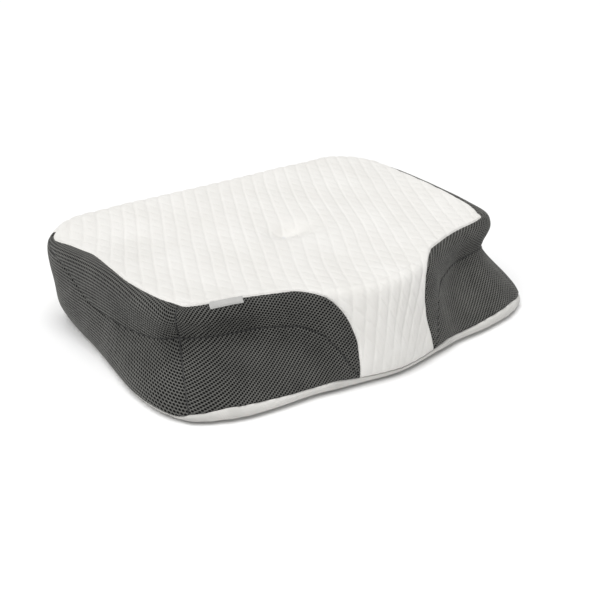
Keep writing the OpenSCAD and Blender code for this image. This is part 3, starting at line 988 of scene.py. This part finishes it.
def zip_box(node):
    """A zip node's box in the zip's own frame: along, out and up, from the pin's height."""
    co = np.array([v.co for v in frame["nodes"][node].data.vertices], float) / MM
    local = np.stack([co[:, 0], (co - PIN) @ ZIP_OUT, (co - PIN) @ -ZIP_DOWN], 1)
    return local.min(0), local.max(0)


def at_zip(local):
    """Points in the zip's frame as points of the pillow."""
    local = np.asarray(local, float)
    x = np.stack([local[..., 0], 0 * local[..., 0], 0 * local[..., 0]], -1)
    return x + PIN * np.array([0, 1, 1]) + local[..., 1:2] * ZIP_OUT + local[..., 2:3] * -ZIP_DOWN


def slot_half():
    """Half the height of the slot in the cover: a little more than a slider and its play."""
    low, high = zip_box("zip_slider")
    return (high[2] - low[2]) / 2 + 2.1


def zip_level(above):
    """The level on the back at a height above the zip's middle."""
    z = PIN[2] + above
    low, high = 3.0, 4.0
    for _ in range(24):
        mid = (low + high) / 2
        low, high = (mid, high) if skin(HALF, mid)[2] < z else (low, mid)
    return (low + high) / 2


# ------------------------------------------------------------------ build everything
top = quilted_top()
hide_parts("quilted_top")
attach(top, "pillow")

PANELS = {
    "end_upper_mesh": (CORNER, LEAF_END, "mid", "top", 4, 3.0, 3.8),
    "end_lower_mesh": (CORNER, MESH_END, "low", "mid", -4, 3.0, 3.8),
    "front_upper_mesh": (MESH_START, CORNER, "mid", "top", 38, 2.8, 3.4),
    "front_lower_mesh": (MESH_START, CORNER, "low", "mid", 34, 2.8, 3.4),
}
for part, (a, b, *rest) in PANELS.items():
    for side in ("right", "left"):
        first, last = (a, b) if side == "right" else (ROUND - b, ROUND - a)
        piece = net_panel(f"{side}_{part}_cloth", first, last, *rest)
        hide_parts(f"{side}_{part}")
        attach(piece, "pillow")


# ------------------------------------------------------------------ the bottom of the cover
BOTTOM_STEP = 3


def bottom_cover():
    """The plain knit bottom: flat where it rests, turned up round the foot to the low seam."""
    cloth = Cloth()
    around, n_back, n_end = around_counts(BOTTOM_STEP)
    half = half_of(around)
    edge = np.where(half <= MESH_END + 1e-6, seam("low", around), slot_edge(around, zip_level(-slot_half())))
    s, v = rows_between(around, np.full(around.shape, 2.0), edge, 14)
    s, v, depth = hem(s, v, top=1)
    cloth.wall(s, v, depth)
    ring = skin(around, np.full(around.shape, 2.0))
    plan = coons(ring[:, :2], n_back, n_end)
    flat = np.concatenate([plan, np.zeros(plan.shape[:2] + (1,))], -1)
    down = np.broadcast_to(np.array([0, 0, -1.0]), flat.shape)
    cloth.grid(flat, down, plan, flip=True)
    points, normals, patterns, faces = cloth.joined()
    fine = np.linspace(MESH_START, MESH_END, 500)
    lines = [seam_line(side * fine, seam("low", fine)) for side in (1, -1)]
    distance = near_seams(points, lines, 20)
    lift = np.clip(points[:, 2] / 6, 0, 1)
    # the turn-up puckers a little where it goes round the foot's corners
    angle = np.arctan2(points[:, 0], -points[:, 1])
    pucker = 0.5 * np.sin(angle * 95) * bell((np.abs(points[:, 0]) - 235) / 45) * (points[:, 1] < -60)
    soft = 0.9 * waves(points[:, :2] + points[:, 2:], 70, 61)
    height = lift * (soft + pucker - rolled(distance, 2.6))
    moved = points + normals * height[:, None]
    # the part that rests on the floor is only a little uneven, upwards
    moved[:, 2] = np.where(points[:, 2] < 0.01, 0.12 * (1 + waves(points[:, :2], 40, 71)), moved[:, 2])
    moved[:, 2] = np.maximum(moved[:, 2], 0)
    return to_object("bottom_cover", moved, faces, [bottom_cloth_with_shade], pattern_at=patterns)


bottom = bottom_cover()
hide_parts("bottom_panel")
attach(bottom, "pillow")


# ------------------------------------------------------------------ seam stitches
dark_thread = satin("charcoal_thread", (0.03, 0.03, 0.03, 1), (0.012, 0.012, 0.012, 1))


def sunk_line(stations, levels, depth, radius):
    """A closed cord of thread lying in the valley of a seam."""
    line = seam_line(stations, levels)
    normal = outward(stations, levels)
    fine, at = np.linspace(0, 1, len(stations)), np.linspace(0, 1, len(line))
    normal = unit(np.stack([np.interp(at, fine, normal[:, k]) for k in range(3)], 1))
    inner = line - normal * (depth - np.minimum(pockets(line), 0))[:, None]
    return tube(inner[::2], radius, sides=6)


for side, sign in (("right", 1), ("left", -1)):
    along = sign * np.linspace(MESH_START + 0.05, LEAF_END - 0.1, 700)
    up = np.linspace(float(seam("low", CORNER)) + 0.02, float(seam("top", CORNER)) - 0.05, 160)
    cords = [
        sunk_line(along, seam("mid", along), 1.3, 0.75),
        sunk_line(np.full(160, sign * CORNER), up, 1.3, 0.75),
    ]
    seam_thread = to_object(f"{side}_mesh_seam_thread", *join_parts(cords), [dark_thread])
    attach(seam_thread, "pillow")


# ------------------------------------------------------------------ labels and the zip
def refined(node, name, bevel, material, body, ripple=0.0, longest=None):
    """A copy of a CAD node with its edges rounded and, on cloth, a slight ripple."""
    bm = bmesh.new()
    bm.from_mesh(frame["nodes"][node].data)
    bmesh.ops.remove_doubles(bm, verts=bm.verts, dist=1e-6)
    bmesh.ops.dissolve_limit(bm, angle_limit=math.radians(4), verts=bm.verts, edges=bm.edges)
    sharp = [e for e in bm.edges if len(e.link_faces) == 2 and e.calc_face_angle() > math.radians(28)]
    bmesh.ops.bevel(
        bm, geom=sharp, offset=bevel * MM, segments=2, profile=0.6, affect="EDGES", clamp_overlap=True,
    )
    bmesh.ops.triangulate(bm, faces=[f for f in bm.faces if len(f.verts) > 4])
    if longest:
        for _ in range(6):
            long_edges = [e for e in bm.edges if e.calc_length() > longest * MM]
            if not long_edges:
                break
            bmesh.ops.subdivide_edges(bm, edges=long_edges, cuts=1, use_grid_fill=True)
            bmesh.ops.triangulate(bm, faces=[f for f in bm.faces if len(f.verts) > 4])
    bm.normal_update()
    co = np.array([v.co for v in bm.verts]) / MM
    normal = np.array([v.normal for v in bm.verts])
    moved = co + normal * (ripple * waves(co[:, [0, 2]], 14, 5))[:, None]
    faces = [[v.index for v in f.verts] for f in bm.faces]
    bm.free()
    obj = to_object(name, moved, faces, [material])
    obj.data.set_sharp_from_angle(angle=math.radians(40))
    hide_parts(node)
    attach(obj, body)
    return obj


def coil(node, name, material):
    """A row of zip teeth: one filament wound in a flattened helix."""
    low, high = zip_box(node)
    middle = (low + high) / 2
    radius = 0.34
    reach = (high - low) / 2 - radius
    pitch = 1.5
    turns = (high[0] - low[0] - 2 * radius) / pitch
    t = np.linspace(0, turns * 2 * math.pi, int(turns * 12))
    square = 0.75
    path = np.stack([
        low[0] + radius + pitch * t / (2 * math.pi),
        middle[1] + reach[1] * np.sign(np.cos(t)) * np.abs(np.cos(t)) ** square,
        middle[2] + reach[2] * np.sign(np.sin(t)) * np.abs(np.sin(t)) ** square,
    ], 1)
    points, faces = tube(path, radius, sides=6)
    obj = to_object(name, at_zip(points), faces, [material])
    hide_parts(node)
    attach(obj, "pillow")


tag_satin = satin("tag_satin", (0.56, 0.555, 0.54, 1), (0.40, 0.40, 0.385, 1))
label_cloth = satin("label_satin", (0.80, 0.80, 0.79, 1), (0.66, 0.66, 0.65, 1))
refined("side_tag", "side_tag_loop", 0.18, tag_satin, "pillow", 0.12, 2.0)
refined("care_label", "care_label_fold", 0.15, label_cloth, "pillow", 0.25, 2.5)
weave = tape_weave("zip_tape_weave", (0.84, 0.84, 0.83, 1), (0.66, 0.66, 0.65, 1))
nylon = plastic("zip_nylon", (0.85, 0.85, 0.84, 1), (0.75, 0.75, 0.74, 1))
enamel = painted_metal("zip_enamel", (0.80, 0.80, 0.79, 1), (0.72, 0.72, 0.71, 1))
for side in ("upper", "lower"):
    refined(f"zip_tape_{side}", f"zip_tape_{side}_cloth", 0.12, weave, "pillow")
    coil(f"zip_coil_{side}", f"zip_coil_{side}_wound", nylon)
refined("zip_top_stops", "zip_top_stops_cast", 0.15, enamel, "pillow")
refined("zip_bottom_stop", "zip_bottom_stop_cast", 0.15, enamel, "pillow")
refined("zip_slider", "zip_slider_cast", 0.18, enamel, "slider")
refined("zip_pull", "zip_pull_cast", 0.2, enamel, "pull")


def repaint(node, material):
    mesh = frame["nodes"][node].data
    mesh.materials.clear()
    mesh.materials.append(material)


repaint("foam_core", foam())
repaint("inner_liner", liner_cloth)
